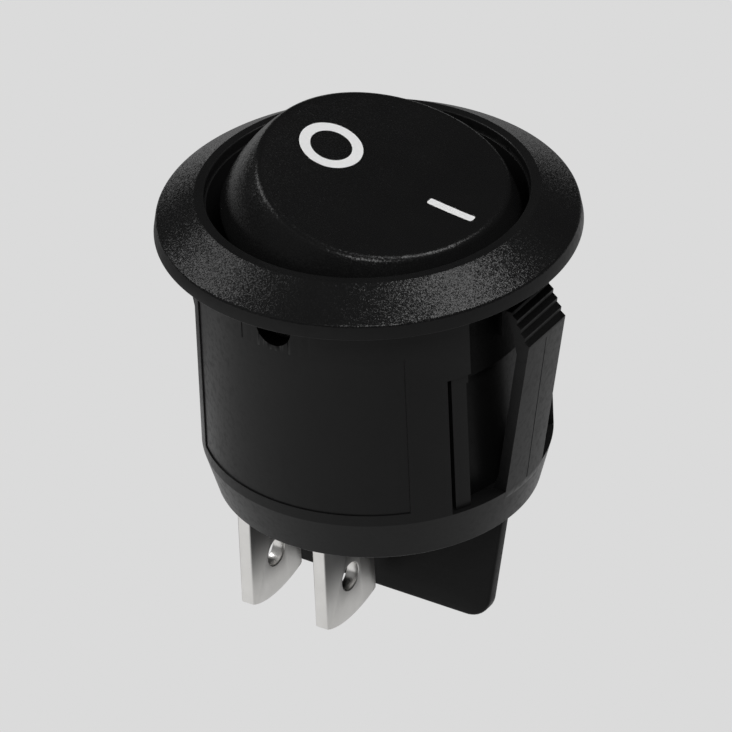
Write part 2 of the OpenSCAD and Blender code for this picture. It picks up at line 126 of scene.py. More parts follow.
def paper_material():
    """Paper: its own colour to the camera, graded white to reflections, dull to the lamps."""
    material, tree = node_material("studio_paper")
    new, link = tree.nodes.new, tree.links.new
    out = new("ShaderNodeOutputMaterial")
    rays = new("ShaderNodeLightPath")
    glow = new("ShaderNodeEmission")
    glow.inputs["Color"].default_value = (paper_grey, paper_grey, paper_grey, 1)
    glow.inputs["Strength"].default_value = 1
    white = new("ShaderNodeEmission")
    spot = new("ShaderNodeNewGeometry")
    across = new("ShaderNodeVectorMath")
    across.operation = "DOT_PRODUCT"
    across.inputs[1].default_value = (0.94, 0.34, 0)
    pool = new("ShaderNodeMapRange")
    pool.inputs["From Min"].default_value = -60 * MM
    pool.inputs["From Max"].default_value = 60 * MM
    pool.inputs["To Min"].default_value = 0.8
    pool.inputs["To Max"].default_value = 0.56
    link(spot.outputs["Position"], across.inputs[0])
    link(across.outputs["Value"], pool.inputs["Value"])
    behind = new("ShaderNodeVectorMath")
    behind.operation = "DOT_PRODUCT"
    behind.inputs[1].default_value = tuple(away * 0.94 - right * 0.34)
    link(spot.outputs["Position"], behind.inputs[0])
    product = pool.outputs["Result"]
    for start, end, least in ((0, 40, 0.86), (62, 76, 0.3), (120, 220, 2.4)):
        fade = new("ShaderNodeMapRange")
        fade.interpolation_type = "SMOOTHSTEP"
        fade.inputs["From Min"].default_value = start * MM
        fade.inputs["From Max"].default_value = end * MM
        fade.inputs["To Min"].default_value = 1
        fade.inputs["To Max"].default_value = least
        link(behind.outputs["Value"], fade.inputs["Value"])
        times = new("ShaderNodeMath")
        times.operation = "MULTIPLY"
        link(product, times.inputs[0])
        link(fade.outputs["Result"], times.inputs[1])
        product = times.outputs[0]
    link(product, white.inputs["Strength"])
    dull = new("ShaderNodeBsdfDiffuse")
    dull.inputs["Color"].default_value = (0.4, 0.4, 0.4, 1)
    mix_view = new("ShaderNodeMixShader")
    mix_gloss = new("ShaderNodeMixShader")
    link(rays.outputs["Is Glossy Ray"], mix_gloss.inputs["Fac"])
    link(dull.outputs[0], mix_gloss.inputs[1])
    link(white.outputs[0], mix_gloss.inputs[2])
    link(rays.outputs["Is Camera Ray"], mix_view.inputs["Fac"])
    link(mix_gloss.outputs[0], mix_view.inputs[1])
    link(glow.outputs[0], mix_view.inputs[2])
    link(mix_view.outputs[0], out.inputs["Surface"])
    return material


floor_mesh = bpy.data.meshes.new("floor")
floor_z = cad_box[0][2] - floor_drop
floor_half = 1.2
floor_mesh.from_pydata(
    [(x * floor_half, y * floor_half, floor_z) for x, y in ((-1, -1), (1, -1), (1, 1), (-1, 1))],
    [], [(0, 1, 2, 3)])
floor = new_object("floor", floor_mesh, paper_material())

world = bpy.data.worlds.new("studio")
bpy.context.scene.world = world
world.use_nodes = True
tree = world.node_tree
tree.nodes.clear()
world_out = tree.nodes.new("ShaderNodeOutputWorld")
world_rays = tree.nodes.new("ShaderNodeLightPath")
world_seen = tree.nodes.new("ShaderNodeBackground")
world_seen.inputs["Color"].default_value = (paper_grey, paper_grey, paper_grey, 1)
world_fill = tree.nodes.new("ShaderNodeBackground")
world_place = tree.nodes.new("ShaderNodeTexCoord")
world_card = tree.nodes.new("ShaderNodeVectorMath")
world_card.operation = "DOT_PRODUCT"
world_card.inputs[1].default_value = (-0.47, -0.69, 0.55)
world_glow = tree.nodes.new("ShaderNodeMapRange")
world_glow.interpolation_type = "SMOOTHSTEP"
world_glow.inputs["From Min"].default_value = 0.75
world_glow.inputs["From Max"].default_value = 0.98
world_glow.inputs["To Min"].default_value = 0.02
world_glow.inputs["To Max"].default_value = 0.25
tree.links.new(world_place.outputs["Generated"], world_card.inputs[0])
tree.links.new(world_card.outputs["Value"], world_glow.inputs["Value"])
tree.links.new(world_glow.outputs["Result"], world_fill.inputs["Color"])
world_mix = tree.nodes.new("ShaderNodeMixShader")
tree.links.new(world_rays.outputs["Is Camera Ray"], world_mix.inputs["Fac"])
tree.links.new(world_fill.outputs[0], world_mix.inputs[1])
tree.links.new(world_seen.outputs[0], world_mix.inputs[2])
tree.links.new(world_mix.outputs[0], world_out.inputs["Surface"])


def softbox(name, toward, distance, width, height, power):
    """A rectangular lamp in the given direction from the switch, facing it."""
    lamp = bpy.data.lights.new(name, "AREA")
    lamp.shape = "RECTANGLE"
    lamp.size = width
    lamp.size_y = height
    lamp.energy = power
    piece = bpy.data.objects.new(name, lamp)
    bpy.context.scene.collection.objects.link(piece)
    direction = Vector(toward).normalized()
    piece.location = direction * distance
    piece.rotation_mode = "QUATERNION"
    piece.rotation_quaternion = direction.to_track_quat("Z", "Y")


front = Vector((-away.x, -away.y, 0))
over = Vector((0, 0, 1))
softbox("softbox_front", right * 0.03 + front * 0.68 + over * 0.73, 0.5, 0.14, 0.14, 0.9)
softbox("softbox_right", right * 0.4 - front * 0.04 + over * 0.9, 0.5, 0.18, 0.18, 1.1)
softbox("softbox_left", -right * 0.7 - front * 0.35 + over * 0.6, 0.5, 0.13, 0.24, 0.62)
bpy.context.scene.view_settings.view_transform = "Standard"

# ---------------------------------------------------------------------------
# Housing
# The bezel, the round wall, the tapered lower band and both latch fingers are
# one black nylon moulding. The bezel's slope carries a coarse spark-eroded
# grain, and the wall is left smoother so that it slides into the panel.
# ---------------------------------------------------------------------------
bezel_r = 11.5
rim_h = 0.8
rim_draft = 0.13
crease_r = 9.25
bezel_h = 2.16
opening_r = 8.72
wall_r = 9.51
straight_z = -13.1
tail_r = 8.8
tail_z = -15.6
well_r = 8.62
well_floor_z = -3.3
ledge_slope = 0.7
lip_z = 1.6
ledge_r = 7.5
lower_bore_r = 8.4
shoulder_z = -5.3
round_steps = 288


def arc_corner(before, corner, after, radius, steps=5):
    """Points of a rounded corner between two straight edges, in 2D."""
    a = (Vector(before) - Vector(corner)).normalized()
    b = (Vector(after) - Vector(corner)).normalized()
    half = a.angle(b) / 2
    reach = radius / math.tan(half)
    centre = Vector(corner) + (a + b).normalized() * (radius / math.sin(half))
    start = Vector(corner) + a * reach - centre
    end = Vector(corner) + b * reach - centre
    points = []
    for i in range(steps + 1):
        t = i / steps
        mixed = (start * (1 - t) + end * t).normalized() * radius
        points.append(tuple(centre + mixed))
    return points


def rounded(points, radii, steps=5):
    """A closed 2D outline with each corner rounded by its own radius."""
    count = len(points)
    outline = []
    for i, (point, radius) in enumerate(zip(points, radii)):
        if radius:
            outline += arc_corner(points[i - 1], point, points[(i + 1) % count], radius, steps)
        else:
            outline.append(point)
    return outline


def closed_piece(name, vertices, faces, material=None):
    """A closed mesh as an object, with all its faces turned outwards."""
    mesh = bpy.data.meshes.new(name)
    mesh.from_pydata(vertices, [], faces)
    bm = bmesh.new()
    bm.from_mesh(mesh)
    bmesh.ops.recalc_face_normals(bm, faces=bm.faces)
    bm.to_mesh(mesh)
    bm.free()
    return new_object(name, mesh, material)


def lathe(name, outline, steps, material):
    """Turns a closed outline of (radius, height) in millimetres about the switch axis."""
    count = len(outline)
    vertices = []
    for i in range(steps):
        turn = 2 * math.pi * i / steps
        for r, z in outline:
            vertices.append((r * math.cos(turn) * MM, r * math.sin(turn) * MM, z * MM))
    faces = []
    for i in range(steps):
        for j in range(count):
            a, b = i * count + j, i * count + (j + 1) % count
            c, d = ((i + 1) % steps) * count + (j + 1) % count, ((i + 1) % steps) * count + j
            faces.append((a, d, c, b))
    return closed_piece(name, vertices, faces, material)


def prism(name, outline, low, high, plane, material=None):
    """Extrudes a closed 2D outline in millimetres between low and high, across the named plane."""
    count = len(outline)
    order = {"xy": (0, 1, 2), "xz": (0, 2, 1), "yz": (1, 2, 0)}[plane]
    vertices = []
    for level in (low, high):
        for u, v in outline:
            point = [0, 0, 0]
            point[order[0]], point[order[1]], point[order[2]] = u * MM, v * MM, level * MM
            vertices.append(point)
    faces = [tuple(range(count)), tuple(range(2 * count - 1, count - 1, -1))]
    faces += [(i, i + count, (i + 1) % count + count, (i + 1) % count) for i in range(count)]
    return closed_piece(name, vertices, faces, material)


def ring_block(name, r0, r1, z0, z1, middle, half_angle, steps=64):
    """A sector of a round wall, used to sink a shallow face into the housing."""
    outline = []
    for i in range(steps + 1):
        turn = math.radians(middle - half_angle + 2 * half_angle * i / steps)
        outline.append((r1 * math.cos(turn), r1 * math.sin(turn)))
    for i in range(steps, -1, -1):
        turn = math.radians(middle - half_angle + 2 * half_angle * i / steps)
        outline.append((r0 * math.cos(turn), r0 * math.sin(turn)))
    return prism(name, outline, z0, z1, "xy")


def carve(piece, cutters):
    """Cuts pieces away and deletes the cutters."""
    for cutter in cutters:
        cut = piece.modifiers.new("cut", "BOOLEAN")
        cut.operation = "DIFFERENCE"
        cut.solver = "EXACT"
        cut.object = cutter
        apply_modifiers(piece)
        bpy.data.objects.remove(cutter)


def apply_modifiers(piece):
    """Bakes a piece's modifiers into its mesh."""
    graph = bpy.context.evaluated_depsgraph_get()
    mesh = bpy.data.meshes.new_from_object(piece.evaluated_get(graph))
    piece.modifiers.clear()
    piece.data = mesh


def soften(piece, width, segments=2, angle=32):
    """Rounds sharp edges by a small radius and smooths the shading."""
    edge = piece.modifiers.new("edge", "BEVEL")
    edge.width = width * MM
    edge.segments = segments
    edge.limit_method = "ANGLE"
    edge.angle_limit = math.radians(angle)
    edge.harden_normals = False
    edge.use_clamp_overlap = True
    apply_modifiers(piece)
    smooth(piece, angle)


def smooth(piece, angle=32):
    """Smooth shading, kept crisp across edges sharper than the angle."""
    mesh = piece.data
    mesh.shade_smooth()
    bm = bmesh.new()
    bm.from_mesh(mesh)
    limit = math.radians(angle)
    for edge in bm.edges:
        if len(edge.link_faces) == 2:
            edge.smooth = edge.calc_face_angle(0) < limit
    bm.to_mesh(mesh)
    bm.free()


def join(name, parts):
    """Joins several meshes into one piece."""
    bm = bmesh.new()
    for part in parts:
        bm.from_mesh(part.data)
    mesh = bpy.data.meshes.new(name)
    bm.to_mesh(mesh)
    bm.free()
    for material in parts[0].data.materials:
        mesh.materials.append(material)
    for part in parts:
        bpy.data.objects.remove(part)
    return new_object(name, mesh)


def grain_group():
    """Spark-eroded grain: a height, and a mask of the pits that catch the light."""
    group = bpy.data.node_groups.new("moulded_grain", "ShaderNodeTree")
    face = group.interface
    size = face.new_socket("Grain Size", in_out="INPUT", socket_type="NodeSocketFloat")
    size.default_value = 0.1
    face.new_socket("Height", in_out="OUTPUT", socket_type="NodeSocketFloat")
    face.new_socket("Pits", in_out="OUTPUT", socket_type="NodeSocketFloat")
    face.new_socket("Facet", in_out="OUTPUT", socket_type="NodeSocketVector")
    new, link = group.nodes.new, group.links.new
    given = new("NodeGroupInput")
    result = new("NodeGroupOutput")
    place = new("ShaderNodeTexCoord")
    scale = new("ShaderNodeMath")
    scale.operation = "DIVIDE"
    scale.inputs[0].default_value = 1 / MM
    link(given.outputs["Grain Size"], scale.inputs[1])
    cells = new("ShaderNodeTexVoronoi")
    cells.feature = "F1"
    link(place.outputs["Object"], cells.inputs["Vector"])
    link(scale.outputs[0], cells.inputs["Scale"])
    fine = new("ShaderNodeTexNoise")
    fine.inputs["Detail"].default_value = 2
    link(place.outputs["Object"], fine.inputs["Vector"])
    link(scale.outputs[0], fine.inputs["Scale"])
    blend = new("ShaderNodeMix")
    blend.data_type = "FLOAT"
    blend.inputs["Factor"].default_value = 0.5
    link(cells.outputs["Distance"], blend.inputs["A"])
    link(fine.outputs["Fac"], blend.inputs["B"])
    link(blend.outputs["Result"], result.inputs["Height"])
    pits = new("ShaderNodeMapRange")
    pits.inputs["From Min"].default_value = 0.45
    pits.inputs["From Max"].default_value = 0.7
    link(fine.outputs["Fac"], pits.inputs["Value"])
    link(pits.outputs["Result"], result.inputs["Pits"])
    facet = new("ShaderNodeVectorMath")
    facet.operation = "SUBTRACT"
    facet.inputs[1].default_value = (0.5, 0.5, 0.5)
    link(cells.outputs["Color"], facet.inputs[0])
    link(facet.outputs["Vector"], result.inputs["Facet"])
    return group


moulded_grain = grain_group()


def nylon_material(name, shade, gloss_ior, grain_size, depth, roughness, rough_spread, sparkle=0):
    """Black moulded nylon with a grain of the given size and depth."""
    material, tree = node_material(name)
    new, link = tree.nodes.new, tree.links.new
    out = new("ShaderNodeOutputMaterial")
    nylon = new("ShaderNodeBsdfPrincipled")
    nylon.inputs["IOR"].default_value = gloss_ior
    link(nylon.outputs[0], out.inputs["Surface"])
    grain = new("ShaderNodeGroup")
    grain.node_tree = moulded_grain
    grain.inputs["Grain Size"].default_value = grain_size
    bump = new("ShaderNodeBump")
    bump.inputs["Strength"].default_value = 1
    bump.inputs["Distance"].default_value = depth * MM
    link(grain.outputs["Height"], bump.inputs["Height"])
    if sparkle:
        lie = new("ShaderNodeNewGeometry")
        tilt = new("ShaderNodeVectorMath")
        tilt.operation = "MULTIPLY_ADD"
        tilt.inputs[1].default_value = (sparkle, sparkle, sparkle)
        link(grain.outputs["Facet"], tilt.inputs[0])
        link(lie.outputs["Normal"], tilt.inputs[2])
        faced = new("ShaderNodeVectorMath")
        faced.operation = "NORMALIZE"
        link(tilt.outputs["Vector"], faced.inputs[0])
        link(faced.outputs["Vector"], bump.inputs["Normal"])
    link(bump.outputs["Normal"], nylon.inputs["Normal"])
    tone = new("ShaderNodeMapRange")
    tone.inputs["To Min"].default_value = roughness - rough_spread
    tone.inputs["To Max"].default_value = roughness + rough_spread
    link(grain.outputs["Pits"], tone.inputs["Value"])
    link(tone.outputs["Result"], nylon.inputs["Roughness"])
    place = new("ShaderNodeTexCoord")
    cloud = new("ShaderNodeTexNoise")
    cloud.inputs["Scale"].default_value = 0.4 / MM
    cloud.inputs["Detail"].default_value = 3
    link(place.outputs["Object"], cloud.inputs["Vector"])
    colour = new("ShaderNodeMix")
    colour.data_type = "RGBA"
    colour.inputs["A"].default_value = (shade * 0.85, shade * 0.85, shade * 0.87, 1)
    colour.inputs["B"].default_value = (shade * 1.2, shade * 1.2, shade * 1.2, 1)
    link(cloud.outputs["Fac"], colour.inputs["Factor"])
    link(colour.outputs["Result"], nylon.inputs["Base Color"])
    return material


bezel_nylon = nylon_material("nylon_bezel_grain", 0.009, 1.25, 0.06, 0.008, 0.25, 0.06, 0.23)
# A rougher nylon whose darker colour is painted shade, for the sleeve faces and the teeth's upper
# sides.
rough_shaded_nylon = nylon_material("nylon_rough_painted_shade", 0.004, 1.2, 0.2, 0.01, 0.6, 0.05)
wall_nylon = nylon_material("nylon_wall", 0.009, 1.27, 0.3, 0.004, 0.36, 0.05)

housing_outline = rounded(
    [(ledge_r, shoulder_z), (ledge_r, well_floor_z - ledge_slope), (well_r, well_floor_z),
     (well_r, lip_z), (opening_r, lip_z), (opening_r, bezel_h + 0.02), (crease_r, bezel_h),
     (bezel_r - rim_draft, rim_h), (bezel_r, 0), (wall_r, 0), (wall_r, straight_z),
     (tail_r, tail_z), (lower_bore_r, tail_z), (lower_bore_r, shoulder_z)],
    [0, 0.2, 0.2, 0.03, 0, 0.08, 0.12, 0.22, 0.04, 0.05, 0.25, 0.08, 0.04, 0], 4)
housing = lathe("housing_moulding", housing_outline, round_steps, wall_nylon)
housing.data.materials.append(bezel_nylon)
housing.data.materials.append(rough_shaded_nylon)


def box_outline(u0, u1, v0, v1):
    """Corners of a rectangle."""
    return [(u0, v0), (u1, v0), (u1, v1), (u0, v1)]


# Windows with their sunk faces and slits, marking panels, and pivot holes with their reliefs.
window_half = 3.8
window_top_z = -1.45
sunk_half = 5.07
sunk_depth = 0.3
sunk_top_z = -4.6
slit_half_angle = 1.1
finger_half = 1.82
sleeve_r = 8.8
rib_turn = math.radians(6.4)
rib_half = 0.07
rib_rise = 0.22
groove_r = 8.5
cut_r = 12
panel_depth = 0.08
panel_low_z, panel_high_z, panel_half_angle = -12.45, -2.7, 43.7
relief_depth = 0.03
relief_low_z, relief_high_z, relief_half_angle = -2.71, -0.03, 13
pivot_hole_r = 1.1
pivot_z = -1.3
sunk_angle = math.degrees(math.asin(sunk_half / wall_r))
window_angle = math.degrees(math.asin(window_half / wall_r))
sunk_low_z = straight_z + 0.004
cutters = []
for side in (-1, 1):
    near, far = sorted((side * 5, side * cut_r))
    middle = 0 if side > 0 else 180
    window = box_outline(near, far, -window_half, window_half)
    cutters.append(prism("window", window, straight_z, shoulder_z, "xy"))
    cutters.append(ring_block("window_top", sleeve_r, cut_r, shoulder_z - 0.01, window_top_z,
                              middle, window_angle))
    cutters.append(ring_block("sunk_face", wall_r - sunk_depth, wall_r + 1, sunk_low_z, sunk_top_z,
                              middle, sunk_angle))
    for edge in (-1, 1):
        cutters.append(ring_block("groove", groove_r, cut_r, sunk_low_z, sunk_top_z,
                                  middle + edge * (sunk_angle - slit_half_angle),
                                  slit_half_angle, 4))
    cutters.append(ring_block("marking_panel", wall_r - panel_depth, wall_r + 1,
                              panel_low_z, panel_high_z, side * 90, panel_half_angle))
    cutters.append(ring_block("pivot_relief", wall_r - relief_depth, wall_r + 1,
                              relief_low_z, relief_high_z, side * 90, relief_half_angle))
    hole = [(pivot_hole_r * math.cos(t * math.pi / 24),
             pivot_z + pivot_hole_r * math.sin(t * math.pi / 24)) for t in range(48)]
    cutters.append(prism("pivot_hole", hole, *sorted((side * 6, side * cut_r)), "xz"))
carve(housing, cutters)

# Latch fingers: rooted in the lower band, leaning out to four stepped teeth,
# each with a fine parting line, and two thin ribs on the sleeve behind it.
tooth_reach = 11.15
tooth_z = -3.3
tooth_step = 0.23
tooth_pitch = 0.49
tooth_riser = 0.26
tooth_undercut = 0.05
finger_outline = [(8.5, -13.6), (9.37, -13.6), (9.52, -13.1)]
for k in range(4):
    x, z = tooth_reach - k * tooth_step, tooth_z + k * tooth_pitch
    finger_outline += [(x - tooth_undercut, z - tooth_riser), (x, z)]
finger_outline.append((x - tooth_step - tooth_undercut, z + tooth_pitch - tooth_riser))
finger_outline += [(10.13, -1.42), (9.78, -1.42), (10.2, -3.1), (10.35, -4.0),
                   (8.89, -12.2), (8.5, -13.1)]


def latch_finger(side):
    """One finger: flat across its teeth, curving with the round wall at its root."""
    count = len(finger_outline)
    levels = [finger_half * (i / 6 - 1) for i in range(13)]
    vertices = []
    for y in levels:
        sag = wall_r - math.sqrt(wall_r ** 2 - y ** 2)
        for x, z in finger_outline:
            bent = x - sag if z < -13 and x > 9 else x
            vertices.append((side * bent * MM, y * MM, z * MM))
    faces = [tuple(range(count)), tuple(range(len(vertices) - 1, len(vertices) - count - 1, -1))]
    for j in range(len(levels) - 1):
        for i in range(count):
            k = (i + 1) % count
            faces.append((j * count + i, (j + 1) * count + i, (j + 1) * count + k, j * count + k))
    return closed_piece("finger", vertices, faces, wall_nylon)


fingers = []
for side in (-1, 1):
    finger = latch_finger(side)
    line = [(side * x, z) for x, z in ((9.47, -13.1), (11.06, -3.7), (12, -3.7), (10.4, -13.1))]
    carve(finger, [prism("parting_line", line, -0.03, 0.03, "xz")])
    fingers.append(finger)
    for turn in (-rib_turn, rib_turn):
        direction = Vector((side * math.cos(turn), math.sin(turn)))
        along = Vector((-direction.y, direction.x)) * rib_half
        rib = [tuple(direction * r + along * t)
               for r, t in box_outline(sleeve_r - 0.1, sleeve_r + rib_rise, -1, 1)]
        fingers.append(prism("sleeve_rib", rib, -3.7, -1.4, "xy", wall_nylon))
soften(housing, 0.035)
for finger in fingers:
    soften(finger, 0.03)
housing = join("housing_moulding", [housing] + fingers)
smooth(housing)

# The bezel and rim are grained; the sleeve faces and the teeth's upper sides get a rougher nylon
# whose darker colour is painted shade.
for polygon in housing.data.polygons:
    centre = polygon.center / MM
    radius = math.hypot(centre.x, centre.y)
    if centre.z > rim_h - 0.12 and radius > 8.8:
        polygon.material_index = 1
    elif radius > 9.8 and centre.z > -3.6 and polygon.normal.z > 0.3:
        polygon.material_index = 2
    elif (shoulder_z < centre.z < -1.4 and 8.65 < radius < sleeve_r + 0.3
          and abs(centre.y) < window_half):
        polygon.material_index = 2
even = housing.modifiers.new("even_shading", "WEIGHTED_NORMAL")
even.keep_sharp = True
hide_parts("housing")
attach(housing, "switch_body")

# ---------------------------------------------------------------------------
# Base
# A black nylon cup pressed up into the housing from below. Its floor holds the
# blades, a wall inside parts the two poles, and the barrier hangs below them.
# ---------------------------------------------------------------------------
base_r = 8.3
base_wall = 1.0
base_floor_z = -13.5
barrier_half = 0.4
barrier_root_x = 8.15
barrier_tip_x = 6.8
barrier_tip_z = -23.2
base_nylon = nylon_material("nylon_base", 0.007, 1.2, 0.25, 0.004, 0.4, 0.05)
cup_outline = rounded(
    [(0.01, tail_z), (base_r, tail_z), (base_r, shoulder_z - 0.02),
     (base_r - base_wall, shoulder_z - 0.02), (base_r - base_wall, base_floor_z),
     (0.01, base_floor_z)],
    [0, 0.15, 0.08, 0.08, 0.2, 0])
cup = lathe("base_cup", cup_outline, 192, base_nylon)
smooth(cup)
barrier_outline = rounded(
    [(-barrier_root_x, tail_z - 0.02), (-barrier_root_x, tail_z - 0.22),
     (-barrier_tip_x, barrier_tip_z), (barrier_tip_x, barrier_tip_z),
     (barrier_root_x, tail_z - 0.22), (barrier_root_x, tail_z - 0.02)],
    [0, 0, 1.6, 1.6, 0, 0], 10)
barrier = prism("barrier", barrier_outline, -barrier_half, barrier_half, "xz", base_nylon)
soften(barrier, 0.16, 3)
divider = prism("divider", box_outline(-7.4, 7.4, base_floor_z - 0.5, -7.0),
                -barrier_half, barrier_half, "xz", base_nylon)
soften(divider, 0.08)
base = join("base_moulding", [cup, barrier, divider])
smooth(base)
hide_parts("base")
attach(base, "switch_body")

# ---------------------------------------------------------------------------
# Rocker
# A black nylon paddle, oval in plan, hollowed like a saucer along its length.
# Two pins moulded on its sides turn in the housing wall.
# ---------------------------------------------------------------------------
rocker_joint = next(joint for joint in frame["joints"] if joint["name"] == "rocker_tilt")
pivot = Vector(rocker_joint["pos_m"])
rest_tilt = math.radians(-rocker_joint["range_deg"][0] / 2)
rocker_place = Matrix.Translation(pivot) @ Matrix.Rotation(rest_tilt, 4, "Y")
rocker_r = 8.44
rocker_top = 4.64
dish_r = 38
rocker_edge = 0.5
flank_foot = 1.5
skirt_r = 7.0
skirt_z = -1.2
round_points = 240
rocker_nylon = nylon_material("nylon_rocker", 0.0075, 1.27, 0.08, 0.008, 0.29, 0.06, 0.13)


def dish(x):
    """Height of the rocker's hollowed top above its pivot."""
    return rocker_top + x * x / (2 * dish_r)


def edge_middle(turn):
    """Middle of the edge rounding between round flank and hollowed top, as distance and height."""
    top = rocker_top - rocker_edge
    ball = rocker_r - rocker_edge
    k = math.cos(turn) ** 2 / dish_r
    b = 1 + top * k
    c = top * top - ball * ball
    distance = math.sqrt(-2 * c / (b + math.sqrt(b * b - k * k * c)))
    return distance, dish(distance * math.cos(turn)) - rocker_edge


def rocker_ring(at):
    """Ring of points round the rocker from a function of direction to distance and height."""
    ring = []
    for i in range(round_points):
        turn = 2 * math.pi * i / round_points
        distance, height = at(turn)
        ring.append((distance * math.cos(turn) * MM, distance * math.sin(turn) * MM, height * MM))
    return ring


def flank_point(turn, share):
    """Point on the flank, a share of the way up from its foot."""
    distance, height = edge_middle(turn)
    foot = math.asin(flank_foot / rocker_r)
    climb = foot + share * (math.atan2(height, distance) - foot)
    return rocker_r * math.cos(climb), rocker_r * math.sin(climb)


def edge_point(turn, share):
    """Point on the edge rounding, a share of the way from the flank to the top."""
    distance, height = edge_middle(turn)
    start = math.atan2(height, distance)
    climb = start + share * (math.pi / 2 - start)
    return distance + rocker_edge * math.cos(climb), height + rocker_edge * math.sin(climb)


def top_point(turn, share):
    """Point on the hollowed top, at a share of the distance out to the edge."""
    distance = share * edge_middle(turn)[0]
    return distance, dish(distance * math.cos(turn))


def skin(name, rings, material):
    """Closed surface through rings of equal count, capped at both ends."""
    count = len(rings[0])
    vertices = [point for ring in rings for point in ring]
    faces = [tuple(range(count))[::-1], tuple(range(len(vertices) - count, len(vertices)))]
    for j in range(len(rings) - 1):
        for i in range(count):
            k = (i + 1) % count
            faces.append((j * count + i, j * count + k, (j + 1) * count + k, (j + 1) * count + i))
    mesh = bpy.data.meshes.new(name)
    mesh.from_pydata(vertices, [], faces)
    return new_object(name, mesh, material)


def turned(name, start, end, radius, chamfer, material):
    """A round pin from start to end with chamfered ends, in the rocker's own frame."""
    axis = Vector(end) - Vector(start)
    length = axis.length
    outline = [(0.02, 0), (radius - chamfer, 0), (radius, chamfer),
               (radius, length - chamfer), (radius - chamfer, length), (0.02, length)]
    pin = lathe(name, outline, 64, material)
    turn = axis.to_track_quat("Z", "Y").to_matrix().to_4x4()
    pin.data.transform(Matrix.Translation(Vector(start) * MM) @ turn)
    return pin


def plain_ring(distance, height):
    """A level round ring."""
    return rocker_ring(lambda turn: (distance, height))


rings = [plain_ring(0.02, rocker_top - 1), plain_ring(6.0, rocker_top - 1),
         plain_ring(6.0, skirt_z), plain_ring(skirt_r - 0.08, skirt_z),
         plain_ring(skirt_r, skirt_z + 0.08), plain_ring(skirt_r, flank_foot),
         plain_ring(math.sqrt(rocker_r ** 2 - flank_foot ** 2) - 0.1, flank_foot)]
rings += [rocker_ring(lambda turn, f=i / 16: flank_point(turn, f)) for i in range(16)]
rings += [rocker_ring(lambda turn, f=i / 8: edge_point(turn, f)) for i in range(9)]
rings += [rocker_ring(lambda turn, f=1 - i / 24: top_point(turn, f)) for i in range(1, 24)]
rings.append(plain_ring(0.02, rocker_top))
cap = skin("cap", rings, rocker_nylon)
smooth(cap, 40)
pin_root = 6.3
parts = [cap]
pin_sizes = (("pin", 8.75, 1.05, 0.12), ("pin_shoulder", 8.27, 1.8, 0.1))
for side in (-1, 1):
    for name, pin_end, pin_r, chamfer in pin_sizes:
        parts.append(turned(name, (0, side * pin_root, 0), (0, side * pin_end, 0),
                            pin_r, chamfer, rocker_nylon))
rocker = join("rocker_moulding", parts)
rocker.data.transform(rocker_place)
smooth(rocker, 40)
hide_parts("rocker")
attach(rocker, "rocker_body")

# ---------------------------------------------------------------------------
# O and I marks
# White pad-printed marks on the rocker: a ring for off at the raised end and a
# bar for on at the pressed end.
# ---------------------------------------------------------------------------
ink_height = 0.012
off_x = -3.43
off_y = 0.1
on_x = 4.32
ring_outer = 1.75
ring_inner = 1.15
bar_half_length = 1.4
bar_half_width = 0.25
bar_corner = 0.12


def ink_material():
    """Flat white printing ink with slight unevenness."""
    material, tree = node_material("white_ink")
    new, link = tree.nodes.new, tree.links.new
    out = new("ShaderNodeOutputMaterial")
    ink = new("ShaderNodeBsdfPrincipled")
    link(ink.outputs[0], out.inputs["Surface"])
    ink.inputs["Roughness"].default_value = 0.55
    place = new("ShaderNodeTexCoord")
    speckle = new("ShaderNodeTexNoise")
    speckle.inputs["Scale"].default_value = 7 / MM
    link(place.outputs["Object"], speckle.inputs["Vector"])
    colour = new("ShaderNodeMix")
    colour.data_type = "RGBA"
    colour.inputs["A"].default_value = (0.80, 0.80, 0.80, 1)
    colour.inputs["B"].default_value = (0.92, 0.92, 0.92, 1)
    link(speckle.outputs["Fac"], colour.inputs["Factor"])
    link(colour.outputs["Result"], ink.inputs["Base Color"])
    return material


def print_mark(name, rings, closed_centre, material):
    """A thin printed film through nested rings of (x, y), laid on the rocker's hollow."""
    count = len(rings[0])
    vertices = []
    for ring in rings:
        vertices += [(x * MM, y * MM, (dish(x) + ink_height) * MM) for x, y in ring]
    faces = []
    for j in range(len(rings) - 1):
        for i in range(count):
            k = (i + 1) % count
            faces.append((j * count + i, j * count + k, (j + 1) * count + k, (j + 1) * count + i))
    if closed_centre:
        faces.append(tuple(range(len(vertices) - count, len(vertices))))
    mesh = bpy.data.meshes.new(name)
    mesh.from_pydata(vertices, [], faces)
    mark = new_object(name, mesh, material)
    thick = mark.modifiers.new("film", "SOLIDIFY")
    thick.thickness = ink_height * MM
    thick.offset = -1
    apply_modifiers(mark)
    mark.data.transform(rocker_place)
    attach(mark, "rocker_body")


white_ink = ink_material()
off_rings = []
for i in range(7):
    r = ring_outer + (ring_inner - ring_outer) * i / 6
    off_rings.append([(off_x + r * math.cos(2 * math.pi * k / 128),
                       off_y + r * math.sin(2 * math.pi * k / 128)) for k in range(128)])
print_mark("off_ring", off_rings, False, white_ink)
bar_box = box_outline(-bar_half_length, bar_half_length, -bar_half_width, bar_half_width)
bar_outline = rounded(bar_box, [bar_corner] * 4, 6)
bar_points = []
for (x0, y0), (x1, y1) in zip(bar_outline, bar_outline[1:] + bar_outline[:1]):
    pieces = max(1, int(math.hypot(x1 - x0, y1 - y0) / 0.2))
    bar_points += [(x0 + (x1 - x0) * i / pieces, y0 + (y1 - y0) * i / pieces)
                   for i in range(pieces)]
bar_rings = [[(on_x + x, y * f) for x, y in bar_points] for f in (1, 0.5, 0.02)]
print_mark("on_bar", bar_rings, True, white_ink)

